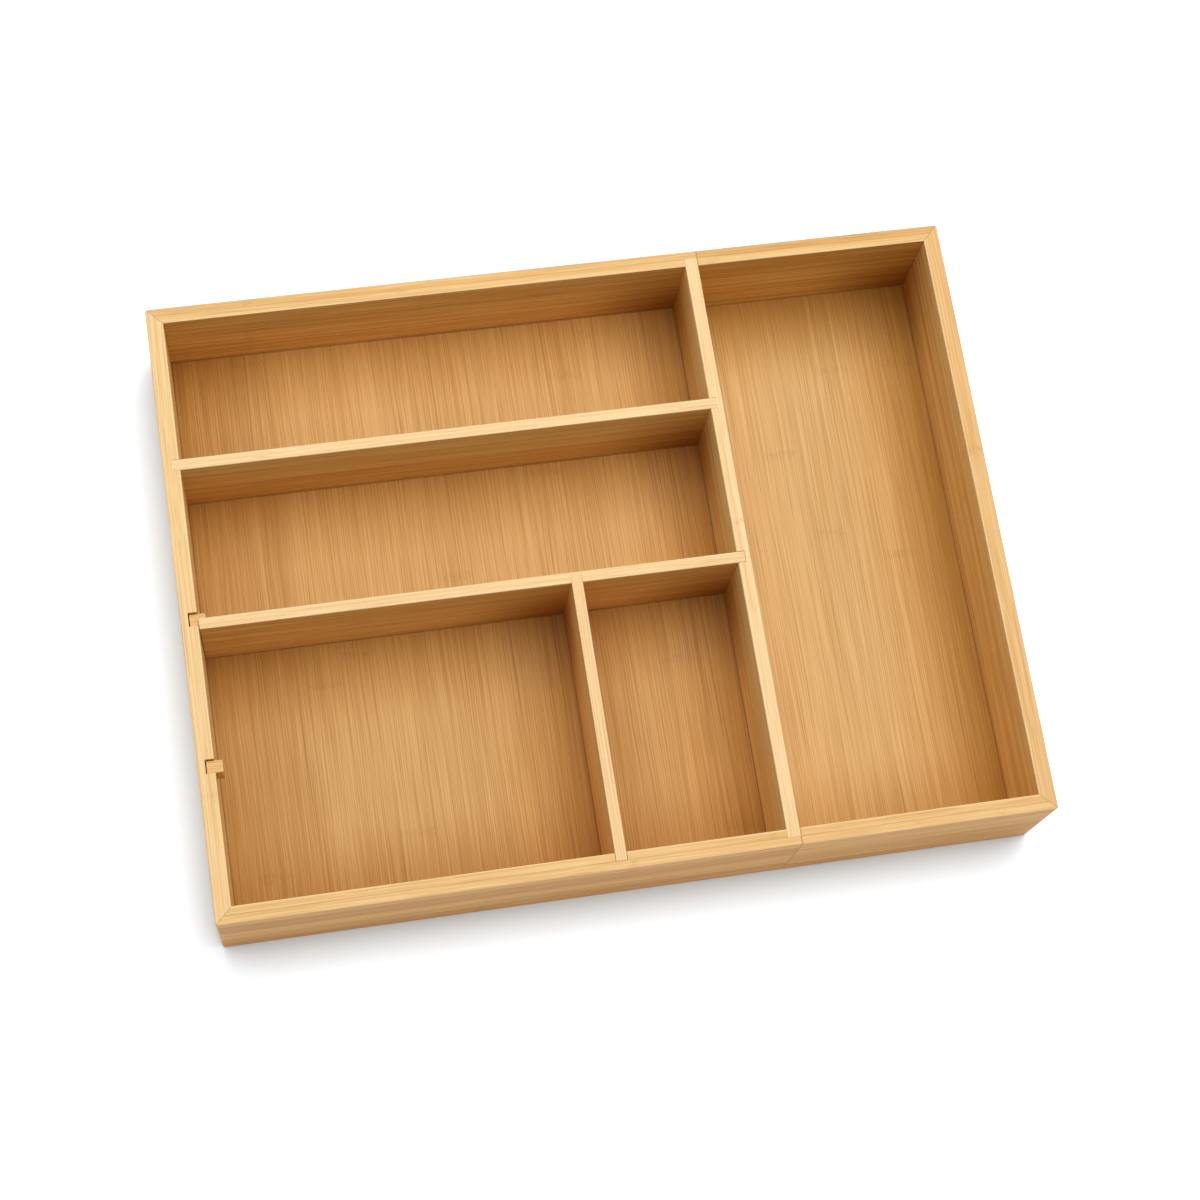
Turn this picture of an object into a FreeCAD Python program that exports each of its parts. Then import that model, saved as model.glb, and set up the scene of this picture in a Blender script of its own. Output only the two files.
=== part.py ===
import FreeCAD, Part
import os

# Bamboo cutlery tray: a main box, a pull-out extension on its right, and lift-out dividers.
# Lengths are millimetres. +X runs to the right, +Y to the back and +Z up, and the origin is at the
# middle of the underside of the closed tray.

SIZES = (
    ("tray_width", 432.0, "outside, left to right, extension closed"),
    ("tray_depth", 330.0, "outside, front to back"),
    ("tray_height", 68.0, "outside, underside to rim"),
    ("main_width", 296.8, "from the left face to the seam of the extension"),
    ("ply_thick", 4.4, "one ply of a rail, two plies make a rail"),
    ("centre_wall_thick", 7.0, "wall that closes the main box on the right"),
    ("divider_thick", 6.0, "row, cross and short dividers"),
    ("corner_round", 1.6, "upright outer corners"),
    ("edge_ease", 0.7, "handled edges"),
    ("seam_ease", 0.35, "edges of both units at the seam"),
    ("floor_level", 13.0, "top of the main floor above the underside"),
    ("main_floor_thick", 3.2, "main floor board"),
    ("wing_floor_thick", 3.0, "extension floor board"),
    ("floor_tongue", 2.6, "how far a floor runs into the grooves of the rails"),
    ("slide_gap", 0.3, "clearance round sliding pieces"),
    ("fit_gap", 0.15, "clearance round dropped-in pieces"),
    ("row_share", 0.2548, "of the inner depth, back wall to the middle of the row divider"),
    ("cross_share", 0.5323, "of the inner depth, back wall to the middle of the cross divider"),
    ("spare_share", 0.7708, "of the inner depth, back wall to the middle of the lower slot"),
    ("short_share", 0.6954, "of the main box's inner width, left wall to the middle of the short divider"),
    ("row_housing", 3.8, "row divider let into the left rail"),
    ("wall_housing", 4.0, "row and cross dividers let into the centre wall"),
    ("short_housing", 4.3, "short divider let into the cross divider"),
    ("cross_end_gap", 0.4, "left rail to the free end of the cross divider"),
    ("cross_slot_offset", 2.8, "middle of the cross divider back to the middle of its slot"),
    ("slot_width", 7.4, "open-topped slots in the left rail"),
    ("slot_depth", 4.8, "slots, from the inner face of the left rail"),
    ("key_thick", 6.2, "keys, front to back"),
    ("key_length", 8.2, "keys, left to right"),
    ("key_end_gap", 0.6, "closed end of a slot to the end of its key"),
    ("key_height", 15.0, "keys, which stand on the foot of their slots"),
    ("key_recess", 2.2, "rim to the top of a key"),
    ("travel", 100.0, "how far the extension pulls out"),
    ("slat_thick", 2.0, "guide slats"),
    ("slat_height", 50.0, "guide slats"),
    ("slat_level", 6.0, "underside of the tray to the underside of a slat"),
    ("slat_overlap", 18.0, "slat left in the main rail at full travel"),
    ("slat_hold", 45.0, "slat glued into the extension rail"),
    ("runner_width", 10.0, "runners under the extension floor"),
    ("batten_width", 16.0, "stop batten, left to right"),
    ("cleat_width", 12.0, "stop cleat, left to right"),
    ("spline_thick", 1.6, "corner splines"),
    ("spline_length", 4.8, "corner splines, across the mitre"),
    ("spline_height", 54.0, "corner splines"),
    ("spline_level", 4.0, "underside of the tray to the foot of a spline"),
    ("spline_inset", 3.2, "outer faces to the middle of a spline"),
    ("overrun", 2.0, "how far a cutting tool passes the face that it opens"),
)

QUARTER_TURN = 90.0
MITRE_TURN = 45.0
NEAR = 1e-4

doc = FreeCAD.newDocument("cutlery_tray")
sheet = doc.addObject("Spreadsheet::Sheet", "Sizes")
for row, (alias, value, remark) in enumerate(SIZES, 1):
    sheet.set(f"A{row}", alias)
    sheet.set(f"B{row}", str(value))
    sheet.setAlias(f"B{row}", alias)
    sheet.set(f"C{row}", remark)
doc.recompute()

# Planes of the tray, as expressions on the sheet.
LEFT = "-Sizes.tray_width / 2"
RIGHT = "Sizes.tray_width / 2"
FRONT = "-Sizes.tray_depth / 2"
BACK = "Sizes.tray_depth / 2"
TOP = "Sizes.tray_height"
UNDERSIDE = "0"
SEAM = f"{LEFT} + Sizes.main_width"
RAIL = "2 * Sizes.ply_thick"
LEFT_INNER = f"{LEFT} + {RAIL}"
RIGHT_INNER = f"{RIGHT} - {RAIL}"
FRONT_GLUE = f"{FRONT} + Sizes.ply_thick"
FRONT_INNER = f"{FRONT} + {RAIL}"
BACK_GLUE = f"{BACK} - Sizes.ply_thick"
BACK_INNER = f"{BACK} - {RAIL}"
WALL_LEFT = f"{SEAM} - Sizes.centre_wall_thick"
FLOOR = "Sizes.floor_level"
FLOOR_UNDER = f"{FLOOR} - Sizes.main_floor_thick"
WING_FLOOR = f"{FLOOR_UNDER} - Sizes.slide_gap"
WING_FLOOR_UNDER = f"{WING_FLOOR} - Sizes.wing_floor_thick"
STRIP_TOP = f"{WING_FLOOR_UNDER} - Sizes.slide_gap"
INNER_DEPTH = f"(Sizes.tray_depth - 2 * {RAIL})"
ROW_MIDDLE = f"{BACK_INNER} - Sizes.row_share * {INNER_DEPTH}"
CROSS_MIDDLE = f"{BACK_INNER} - Sizes.cross_share * {INNER_DEPTH}"
SHORT_MIDDLE = f"{LEFT_INNER} + Sizes.short_share * (Sizes.main_width - {RAIL} - Sizes.centre_wall_thick)"
ABOVE = f"{TOP} + Sizes.overrun"


def block(name, x_span, y_span, z_span):
    """A box between two planes on each axis, every plane an expression on the sheet."""
    box = doc.addObject("Part::Box", name)
    for side, axis, (low, high) in zip(("Length", "Width", "Height"), "xyz", (x_span, y_span, z_span)):
        box.setExpression(side, f"({high}) - ({low})")
        box.setExpression(f"Placement.Base.{axis}", low)
    return box


def mitred(name, low_plane, low_ends, high_plane, high_ends, turned=False):
    """A full-height bar between two upright planes, with its own pair of ends on each plane.

    The planes lie across Y, or across X when the bar is turned; a turned bar has like ends.
    """
    bar = doc.addObject("Part::Wedge", name)
    planes = {"Ymin": low_plane, "Ymax": high_plane}
    ends = {"Xmin": low_ends[0], "Xmax": low_ends[1], "X2min": high_ends[0], "X2max": high_ends[1]}
    heights = {"Zmin": UNDERSIDE, "Z2min": UNDERSIDE, "Zmax": TOP, "Z2max": TOP}
    for prop, expression in {**planes, **ends, **heights}.items():
        bar.setExpression(prop, expression)
    if turned:
        bar.Placement.Rotation = FreeCAD.Rotation(FreeCAD.Vector(0, 0, 1), -QUARTER_TURN)
    return bar


def middle(span, thickness):
    """The two planes of a piece of a given thickness about a middle plane."""
    return f"{span} - ({thickness}) / 2", f"{span} + ({thickness}) / 2"


def level(expression):
    """The present value of an expression on the sheet."""
    return float(sheet.evalExpression(expression))


def ease(base, name, wanted):
    """Rounds the edges of a shape that a test picks; the test gives back the name of a radius."""
    doc.recompute()
    picked = []
    for number, edge in enumerate(base.Shape.Edges, 1):
        alias = wanted(edge.BoundBox)
        if alias:
            picked.append((number, sheet.get(alias), sheet.get(alias)))
    eased = doc.addObject("Part::Fillet", name)
    eased.Base = base
    eased.Edges = picked
    return eased


def rim_edges(axis, plane=None):
    """A test for rim edges that run along an axis, on one plane across it or on any."""
    across = "y" if axis == "x" else "x"

    def wanted(box):
        at_rim = box.ZMin > level(TOP) - NEAR
        along = getattr(box, axis.upper() + "Length") > getattr(box, across.upper() + "Length")
        on_plane = plane is None or abs(getattr(box.Center, across) - level(plane)) < NEAR
        return "edge_ease" if at_rim and along and on_plane else None

    return wanted


def common(name, base, tool):
    """What two shapes share."""
    shared = doc.addObject("Part::MultiCommon", name)
    shared.Shapes = [base, tool]
    return shared


def cut(name, base, *tools):
    """A shape less each of the tools."""
    for number, tool in enumerate(tools, 1):
        less = doc.addObject("Part::Cut", f"{name}_cut_{number}")
        less.Base = base
        less.Tool = tool
        base = less
    return base


# Envelopes with the rounded outer edges, one for each unit.
def envelope(name, x_span, corner_plane):
    """The outside of one unit: round at the tray corners, a little eased at the seam, eased elsewhere."""
    blank = block(f"{name}_blank", x_span, (FRONT, BACK), (UNDERSIDE, TOP))

    def wanted(box):
        if box.XLength < NEAR and abs(box.Center.x - level(SEAM)) < NEAR:
            return "seam_ease"
        at_corner = box.ZLength > NEAR and abs(box.Center.x - level(corner_plane)) < NEAR
        return "corner_round" if at_corner else "edge_ease"

    return ease(blank, name, wanted)


main_envelope = envelope("main_envelope", (LEFT, SEAM), LEFT)
wing_envelope = envelope("wing_envelope", (SEAM, RIGHT), RIGHT)

# Floors. Both sit in grooves of the rails, and the extension floor also slides in grooves of the main
# rails, under the main floor.
tongue_front = f"{FRONT_INNER} - Sizes.floor_tongue"
tongue_back = f"{BACK_INNER} + Sizes.floor_tongue"
main_floor = block(
    "main_floor_board",
    (f"{LEFT_INNER} - Sizes.floor_tongue", SEAM),
    (tongue_front, tongue_back),
    (FLOOR_UNDER, FLOOR),
)
batten_left = f"{SEAM} - Sizes.batten_width"
wing_floor_left = f"{batten_left} - Sizes.slide_gap - Sizes.travel - Sizes.cleat_width"
wing_floor_right = f"{RIGHT_INNER} + Sizes.floor_tongue"
wing_floor = block(
    "wing_floor_board",
    (wing_floor_left, wing_floor_right),
    (tongue_front, tongue_back),
    (WING_FLOOR_UNDER, WING_FLOOR),
)
wing_groove = block(
    "wing_groove",
    (f"{wing_floor_left} - Sizes.slide_gap", f"{SEAM} + Sizes.overrun"),
    (f"{tongue_front} - Sizes.slide_gap", f"{tongue_back} + Sizes.slide_gap"),
    (STRIP_TOP, FLOOR_UNDER),
)

# Runners and stops under the extension floor.
runner_x = (LEFT_INNER, batten_left)
front_runner = block(
    "front_runner_strip", runner_x, (FRONT_INNER, f"{FRONT_INNER} + Sizes.runner_width"), (UNDERSIDE, STRIP_TOP)
)
back_runner = block(
    "back_runner_strip", runner_x, (f"{BACK_INNER} - Sizes.runner_width", BACK_INNER), (UNDERSIDE, STRIP_TOP)
)
stop_batten = block("stop_batten_strip", (batten_left, SEAM), (FRONT_INNER, BACK_INNER), (UNDERSIDE, STRIP_TOP))
stop_cleat = block(
    "stop_cleat_strip",
    (wing_floor_left, f"{wing_floor_left} + Sizes.cleat_width"),
    (
        f"{FRONT_INNER} + Sizes.runner_width + Sizes.slide_gap",
        f"{BACK_INNER} - Sizes.runner_width - Sizes.slide_gap",
    ),
    ("Sizes.slide_gap", WING_FLOOR_UNDER),
)

# Dividers, each a plain blank that also cuts its housing, then eased along the rim.
stand = (FLOOR, TOP)
row_y = middle(ROW_MIDDLE, "Sizes.divider_thick")
cross_y = middle(CROSS_MIDDLE, "Sizes.divider_thick")
short_x = middle(SHORT_MIDDLE, "Sizes.divider_thick")
wall_end = f"{WALL_LEFT} + Sizes.wall_housing"

row_blank = block("row_blank", (f"{LEFT_INNER} - Sizes.row_housing", wall_end), row_y, stand)
wall_blank = block("wall_blank", (WALL_LEFT, SEAM), (FRONT_GLUE, BACK_GLUE), stand)
cross_blank = block("cross_blank", (f"{LEFT_INNER} + Sizes.cross_end_gap", wall_end), cross_y, stand)
short_blank = block(
    "short_blank",
    short_x,
    (f"{FRONT_GLUE} + Sizes.fit_gap", f"{cross_y[0]} + Sizes.short_housing"),
    stand,
)

# Keys, and the slots that they drop into.
slot_left = f"{LEFT_INNER} - Sizes.slot_depth"
key_left = f"{slot_left} + Sizes.key_end_gap"
slot_middles = {
    "cross": f"{CROSS_MIDDLE} + Sizes.cross_slot_offset",
    "spare": f"{BACK_INNER} - Sizes.spare_share * {INNER_DEPTH}",
}
key_right = f"{key_left} + Sizes.key_length"
key_top = f"{TOP} - Sizes.key_recess"
key_foot = f"{key_top} - Sizes.key_height"
key_blanks = {}
keys = {}
slots = {}


def key_end_edges(box):
    """A test for the edges of a key's free end."""
    at_end = box.XMin > level(key_right) - NEAR
    return "edge_ease" if at_end else None


for use, slot_middle in slot_middles.items():
    key_y = middle(slot_middle, "Sizes.key_thick")
    slot_y = middle(slot_middle, "Sizes.slot_width")
    key_blanks[use] = block(f"{use}_key_blank", (key_left, key_right), key_y, (key_foot, key_top))
    keys[use] = ease(key_blanks[use], f"{use}_key_stub", key_end_edges)
    slots[use] = block(f"{use}_slot", (slot_left, f"{LEFT_INNER} + Sizes.overrun"), slot_y, (key_foot, ABOVE))

# Open housings with clearance for the dividers that lift out.
cross_housing = block(
    "cross_housing",
    (f"{WALL_LEFT} - Sizes.overrun", f"{wall_end} + Sizes.fit_gap"),
    middle(CROSS_MIDDLE, "Sizes.divider_thick + 2 * Sizes.fit_gap"),
    (FLOOR, ABOVE),
)
short_housing = block(
    "short_front_housing",
    middle(SHORT_MIDDLE, "Sizes.divider_thick + 2 * Sizes.fit_gap"),
    (FRONT_GLUE, f"{FRONT_INNER} + Sizes.overrun"),
    (FLOOR, ABOVE),
)

row_divider = ease(row_blank, "row_divider_board", rim_edges("x"))
centre_wall_eased = ease(wall_blank, "centre_wall_eased", rim_edges("y"))
centre_wall = cut("centre_wall", centre_wall_eased, row_blank, cross_housing)
cross_eased = ease(cross_blank, "cross_eased", rim_edges("x"))
cross_divider = cut("cross_divider", cross_eased, key_blanks["cross"], short_blank)
short_divider = ease(short_blank, "short_divider_board", rim_edges("y"))

# Guide slats between the plies, eased where they slide, and the clearance that they slide in. The
# plain blanks cut the seats that hold the slats in the extension rails.
slat_x = (f"{SEAM} - Sizes.travel - Sizes.slat_overlap", f"{SEAM} + Sizes.slat_hold")
slat_z = ("Sizes.slat_level", "Sizes.slat_level + Sizes.slat_height")
pocket_x = (f"{slat_x[0]} - Sizes.slide_gap", f"{SEAM} + Sizes.overrun")
pocket_z = (f"{slat_z[0]} - Sizes.slide_gap", f"{slat_z[1]} + Sizes.slide_gap")
front_slat_blank = block("front_slat_blank", slat_x, (f"{FRONT_GLUE} - Sizes.slat_thick", FRONT_GLUE), slat_z)
back_slat_blank = block("back_slat_blank", slat_x, (BACK_GLUE, f"{BACK_GLUE} + Sizes.slat_thick"), slat_z)


def slat_edges(box):
    """A test for the long edges of a slat and the edges of its free end."""
    long_edge = box.XLength > NEAR
    at_free_end = box.XMax < level(slat_x[0]) + NEAR
    return "edge_ease" if long_edge or at_free_end else None


front_slat = ease(front_slat_blank, "front_slat_strip", slat_edges)
back_slat = ease(back_slat_blank, "back_slat_strip", slat_edges)
front_pocket = block(
    "front_pocket",
    pocket_x,
    (f"{FRONT_GLUE} - Sizes.slat_thick - Sizes.slide_gap", FRONT_GLUE),
    pocket_z,
)
back_pocket = block(
    "back_pocket",
    pocket_x,
    (BACK_GLUE, f"{BACK_GLUE} + Sizes.slat_thick + Sizes.slide_gap"),
    pocket_z,
)


def spline(name, x_plane, x_sign, y_plane, y_sign):
    """A thin key set square across the mitre of one corner."""
    key = doc.addObject("Part::Box", name)
    key.setExpression("Length", "Sizes.spline_length")
    key.setExpression("Width", "Sizes.spline_thick")
    key.setExpression("Height", "Sizes.spline_height")
    turn = -MITRE_TURN * x_sign * y_sign
    key.Placement.Rotation = FreeCAD.Rotation(FreeCAD.Vector(0, 0, 1), turn)
    # The box turns about its own corner, so half its length and half its width are taken off there.
    along = "Sizes.spline_length / 2"
    across = "Sizes.spline_thick / 2"
    x_middle = f"{x_plane} + {x_sign} * Sizes.spline_inset"
    y_middle = f"{y_plane} + {y_sign} * Sizes.spline_inset"
    key.setExpression("Placement.Base.x", f"{x_middle} - {along} * cos({turn} deg) + {across} * sin({turn} deg)")
    key.setExpression("Placement.Base.y", f"{y_middle} - {along} * sin({turn} deg) - {across} * cos({turn} deg)")
    key.setExpression("Placement.Base.z", "Sizes.spline_level")
    return key


front_left_spline = spline("front_left_spline_key", LEFT, 1, FRONT, 1)
back_left_spline = spline("back_left_spline_key", LEFT, 1, BACK, -1)
front_right_spline = spline("front_right_spline_key", RIGHT, -1, FRONT, 1)
back_right_spline = spline("back_right_spline_key", RIGHT, -1, BACK, -1)

# Left and right rails, whole bars with a mitre at both ends.
outer_ends = (FRONT, BACK)
inner_ends = (FRONT_INNER, BACK_INNER)
left_bar = mitred("left_bar", LEFT, outer_ends, LEFT_INNER, inner_ends, turned=True)
left_eased = ease(left_bar, "left_eased", rim_edges("y", LEFT_INNER))
left_rail = cut(
    "left_rail",
    common("left_shape", left_eased, main_envelope),
    main_floor,
    row_blank,
    slots["cross"],
    slots["spare"],
    front_left_spline,
    back_left_spline,
)
right_bar = mitred("right_bar", RIGHT_INNER, inner_ends, RIGHT, outer_ends, turned=True)
right_eased = ease(right_bar, "right_eased", rim_edges("y", RIGHT_INNER))
right_rail = cut(
    "right_rail",
    common("right_shape", right_eased, wing_envelope),
    wing_floor,
    front_right_spline,
    back_right_spline,
)

# Front and back rails, two plies each, mitred at the corner and square at the seam.
glue_left = f"{LEFT} + Sizes.ply_thick"
glue_right = f"{RIGHT} - Sizes.ply_thick"
main_ends = {"outer": (LEFT, SEAM), "glue": (glue_left, SEAM), "inner": (LEFT_INNER, SEAM)}
wing_ends = {"outer": (SEAM, RIGHT), "glue": (SEAM, glue_right), "inner": (SEAM, RIGHT_INNER)}


def plies(unit, ends, unit_envelope, side, outer_cuts, inner_cuts):
    """The outer and the inner ply of a front or back rail."""
    name = f"{unit}_{side}"
    if side == "front":
        outer = mitred(f"{name}_outer_bar", FRONT, ends["outer"], FRONT_GLUE, ends["glue"])
        inner = mitred(f"{name}_inner_bar", FRONT_GLUE, ends["glue"], FRONT_INNER, ends["inner"])
        inner_plane = FRONT_INNER
    else:
        outer = mitred(f"{name}_outer_bar", BACK_GLUE, ends["glue"], BACK, ends["outer"])
        inner = mitred(f"{name}_inner_bar", BACK_INNER, ends["inner"], BACK_GLUE, ends["glue"])
        inner_plane = BACK_INNER
    inner_eased = ease(inner, f"{name}_inner_eased", rim_edges("x", inner_plane))
    outer_shape = common(f"{name}_outer_shape", outer, unit_envelope)
    inner_shape = common(f"{name}_inner_shape", inner_eased, unit_envelope)
    return cut(f"{name}_outer", outer_shape, *outer_cuts), cut(f"{name}_inner", inner_shape, *inner_cuts)


main_front_outer, main_front_inner = plies(
    "main", main_ends, main_envelope, "front",
    (front_pocket, front_left_spline), (main_floor, wing_groove, wall_blank, short_housing),
)
main_back_outer, main_back_inner = plies(
    "main", main_ends, main_envelope, "back",
    (back_pocket, back_left_spline), (main_floor, wing_groove, wall_blank),
)
wing_front_outer, wing_front_inner = plies(
    "wing", wing_ends, wing_envelope, "front",
    (front_slat_blank, front_right_spline), (wing_floor,),
)
wing_back_outer, wing_back_inner = plies(
    "wing", wing_ends, wing_envelope, "back",
    (back_slat_blank, back_right_spline), (wing_floor,),
)
centre_wall_shape = common("centre_wall_shape", centre_wall, main_envelope)

NODES = {
    "left_rail": left_rail,
    "main_front_outer_ply": main_front_outer,
    "main_front_inner_ply": main_front_inner,
    "main_back_outer_ply": main_back_outer,
    "main_back_inner_ply": main_back_inner,
    "centre_wall": centre_wall_shape,
    "row_divider": row_divider,
    "main_floor": main_floor,
    "front_left_spline": front_left_spline,
    "back_left_spline": back_left_spline,
    "front_runner": front_runner,
    "back_runner": back_runner,
    "stop_batten": stop_batten,
    "right_rail": right_rail,
    "wing_front_outer_ply": wing_front_outer,
    "wing_front_inner_ply": wing_front_inner,
    "wing_back_outer_ply": wing_back_outer,
    "wing_back_inner_ply": wing_back_inner,
    "wing_floor": wing_floor,
    "front_slat": front_slat,
    "back_slat": back_slat,
    "front_right_spline": front_right_spline,
    "back_right_spline": back_right_spline,
    "stop_cleat": stop_cleat,
    "cross_divider": cross_divider,
    "short_divider": short_divider,
    "cross_key": keys["cross"],
    "spare_key": keys["spare"],
}

doc.recompute()
for piece in doc.Objects:
    if "Invalid" in piece.State or "Error" in piece.State:
        raise RuntimeError(f"{piece.Name} did not build: {piece.State}")
os.makedirs("parts", exist_ok=True)
for label, piece in NODES.items():
    piece.Label = label
    shape = piece.Shape
    if shape.isNull() or not shape.isValid() or len(shape.Solids) != 1:
        raise RuntimeError(f"{label} is not one valid solid")
    shape.exportStep(os.path.join("parts", f"{label}.step"))
    print(f"{label}: {shape.Volume:.1f} mm3")
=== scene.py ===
# %% [markdown]
# # A bamboo cutlery tray
# The tray is a drawer insert of glued bamboo. A main box on the left holds two long rows, a wide
# compartment and a small one. A U-shaped extension on the right slides out of the main box. The
# solid pieces come from the CAD model, one mesh for each piece of the real tray, so this lesson adds
# what the solids lack: the camera, the light and the bamboo itself.
# We begin by loading that model and keeping its box, which is printed at the end.

import bpy
from mathutils import Matrix, Vector


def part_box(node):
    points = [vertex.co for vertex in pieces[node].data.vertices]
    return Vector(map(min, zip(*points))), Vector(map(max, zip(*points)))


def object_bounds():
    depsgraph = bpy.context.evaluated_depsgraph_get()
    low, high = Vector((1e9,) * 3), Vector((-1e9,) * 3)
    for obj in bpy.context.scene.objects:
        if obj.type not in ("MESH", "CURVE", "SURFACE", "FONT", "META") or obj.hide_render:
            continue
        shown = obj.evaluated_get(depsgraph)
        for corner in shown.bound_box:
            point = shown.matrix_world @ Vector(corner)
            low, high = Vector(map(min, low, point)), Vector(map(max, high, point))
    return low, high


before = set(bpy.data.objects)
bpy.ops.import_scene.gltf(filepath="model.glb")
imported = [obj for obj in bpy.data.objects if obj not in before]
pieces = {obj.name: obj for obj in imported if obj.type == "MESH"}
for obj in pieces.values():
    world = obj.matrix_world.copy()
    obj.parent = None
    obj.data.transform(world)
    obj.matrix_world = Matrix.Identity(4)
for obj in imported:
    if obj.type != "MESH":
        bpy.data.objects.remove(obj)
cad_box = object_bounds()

print("pieces of the tray:", len(pieces))
print("size in millimetres:", [round(1000 * side, 1) for side in cad_box[1] - cad_box[0]])

# %% [markdown]
# ## Where the camera stands
# The tray lies on a table and the camera looks down on it from the front left, steeply enough to see
# every floor. The camera could be turned with angles or a tracking constraint. Here its place and aim
# were worked out from the corners of the tray's rim, so they are written as plain vectors. A camera
# looks along its own minus Z, with its own Y upwards, so the three columns of its rotation are its
# right, its up and the opposite of its aim.

# %% Place the camera
camera_place = Vector((-0.16941, -0.37796, 1.30911))
camera_aim = Vector((0.12897, 0.27199, -0.95362)).normalized()
camera_up = Vector((0.1232, 0.94981, 0.28756))
camera_right = camera_aim.cross(camera_up).normalized()
camera_up = camera_right.cross(camera_aim)
sensor_width_mm = 36.0
lens_mm = 75.37

camera_data = bpy.data.cameras.new("tray_camera")
camera_data.sensor_width = sensor_width_mm
camera_data.sensor_fit = "HORIZONTAL"
camera_data.lens = lens_mm
camera = bpy.data.objects.new("tray_camera", camera_data)
turn = Matrix((camera_right, camera_up, -camera_aim)).transposed().to_4x4()
camera.matrix_world = Matrix.Translation(camera_place) @ turn
bpy.context.scene.collection.objects.link(camera)
bpy.context.scene.camera = camera
print("the camera stands", round(camera_place.length, 3), "m from the middle of the tray")

# %% [markdown]
# ## Helpers for node materials
# A finish is a small network of nodes. It could be wired by hand in the node editor, but a script can
# wire it again for each of the tray's pieces. One helper adds a node and fills its inputs, which may be
# plain values or the outputs of other nodes, and one adds a sum. Colours are written in the numbers
# that a picture shows, from 0 to 255, and turned into the linear light that the renderer counts in.

# %% Node helpers
def linear(red, green, blue):
    """The linear colour of three picture values from 0 to 255, by the usual sRGB curve."""
    shares = [value / 255.0 for value in (red, green, blue)]
    light = [s / 12.92 if s <= 0.04045 else ((s + 0.055) / 1.055) ** 2.4 for s in shares]
    return (*light, 1.0)


def blank_finish(name):
    """A new material with an empty network."""
    finish = bpy.data.materials.new(name)
    finish.use_nodes = True
    finish.node_tree.nodes.clear()
    return finish, finish.node_tree


def add(tree, kind, inputs=(), **settings):
    """Adds a node, sets its properties, and fills inputs given as (name or number, value)."""
    node = tree.nodes.new(kind)
    for name, value in settings.items():
        setattr(node, name, value)
    for name, value in inputs:
        if isinstance(value, bpy.types.NodeSocket):
            tree.links.new(value, node.inputs[name])
        else:
            node.inputs[name].default_value = value
    return node


def sums(tree, operation, *values):
    """One Math node on plain values or sockets."""
    return add(tree, "ShaderNodeMath", list(enumerate(values)), operation=operation).outputs[0]


print("a pale bamboo in linear light:", [round(part, 3) for part in linear(240, 196, 134)])

# %% [markdown]
# Some sums come back in nearly every finish: the gap between a value and a line, the largest of a row
# of values, a value eased from one range into another, a strength that fades with distance, and a mix
# of two colours. Each gets a name of its own. A Mix node holds sockets for numbers, vectors and colours
# side by side, so the numbers of its colour sockets are named as well.

# %% Sums that come back often
MIX_SHARE, MIX_COLOUR, MIX_OTHER, MIX_RESULT = 0, 6, 7, 2


def folded(tree, operation, values):
    """One operation over a row of values, two at a time."""
    total = values[0]
    for value in values[1:]:
        total = sums(tree, operation, total, value)
    return total


def gap_to(tree, value, line):
    """How far a value is from a line, on either side of it."""
    return sums(tree, "ABSOLUTE", sums(tree, "SUBTRACT", value, line))


def about_zero(tree, noise):
    """Noise from 0 to 1, moved down to swing about zero."""
    return sums(tree, "SUBTRACT", noise, 0.5)


def squeeze(tree, value, low, high, to_low=0.0, to_high=1.0):
    """Eases a value from the range low..high into to_low..to_high, and not past the ends."""
    inputs = (("Value", value), ("From Min", low), ("From Max", high),
              ("To Min", to_low), ("To Max", to_high))
    node = add(tree, "ShaderNodeMapRange", inputs, interpolation_type="SMOOTHSTEP")
    return node.outputs["Result"]


def fade(tree, value, near, far, strength=1.0):
    """Full strength up to near, nothing from far on."""
    return squeeze(tree, value, near, far, strength, 0.0)


def mixed(tree, share, colour, other, blend="MIX"):
    """A colour with a share of another mixed in, or with MULTIPLY tinted by it."""
    inputs = ((MIX_SHARE, share), (MIX_COLOUR, colour), (MIX_OTHER, other))
    node = add(tree, "ShaderNodeMix", inputs, data_type="RGBA", blend_type=blend)
    return node.outputs[MIX_RESULT]


print("a Mix node takes its two colours in sockets", MIX_COLOUR, "and", MIX_OTHER)

# %% [markdown]
# ## The table
# The tray lies on a plain white surface, large enough to fill the view from any side. A bowed backdrop
# would do as well, but seen from above one flat square is enough.

# %% Lay the table
table_half = 4.0
table_corners = [(-table_half, -table_half, 0), (table_half, -table_half, 0),
                 (table_half, table_half, 0), (-table_half, table_half, 0)]
table_mesh = bpy.data.meshes.new("table")
table_mesh.from_pydata(table_corners, [], [(0, 1, 2, 3)])
table = bpy.data.objects.new("table", table_mesh)
bpy.context.scene.collection.objects.link(table)
print("table laid,", 2 * table_half, "m wide")

# %% [markdown]
# More light would make the table white, but it would bleach the bamboo too. So the surface is a little
# darker than white, which lets it hold the tray's soft shadow, and its material lifts it to white for
# the rays that come from the camera, straight or by way of a gloss or a clear thing. The lift throws no
# light on the tray. It fades close to anything that stands on the table, so that the soft shade along
# the foot of the tray isn't washed out, and grows far from the tray, where the table gets less light.

# %% Whiten the table
# The surface is a little blue, which takes the warm tint of the light thrown off the bamboo out of the
# tray's shadow.
table_colour = linear(231, 242, 251)
table_lift = 0.5
contact_reach = 0.035
contact_samples = 8
covered, uncovered = 0.3, 0.95
far_begins, far_ends = 0.6, 1.8


def seen_or_mirrored(tree):
    """One for the camera's own rays and for rays that a gloss or a clear thing passes on."""
    path = add(tree, "ShaderNodeLightPath").outputs
    kinds = ("Is Camera Ray", "Is Glossy Ray", "Is Transmission Ray")
    return folded(tree, "MAXIMUM", [path[kind] for kind in kinds])


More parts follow.
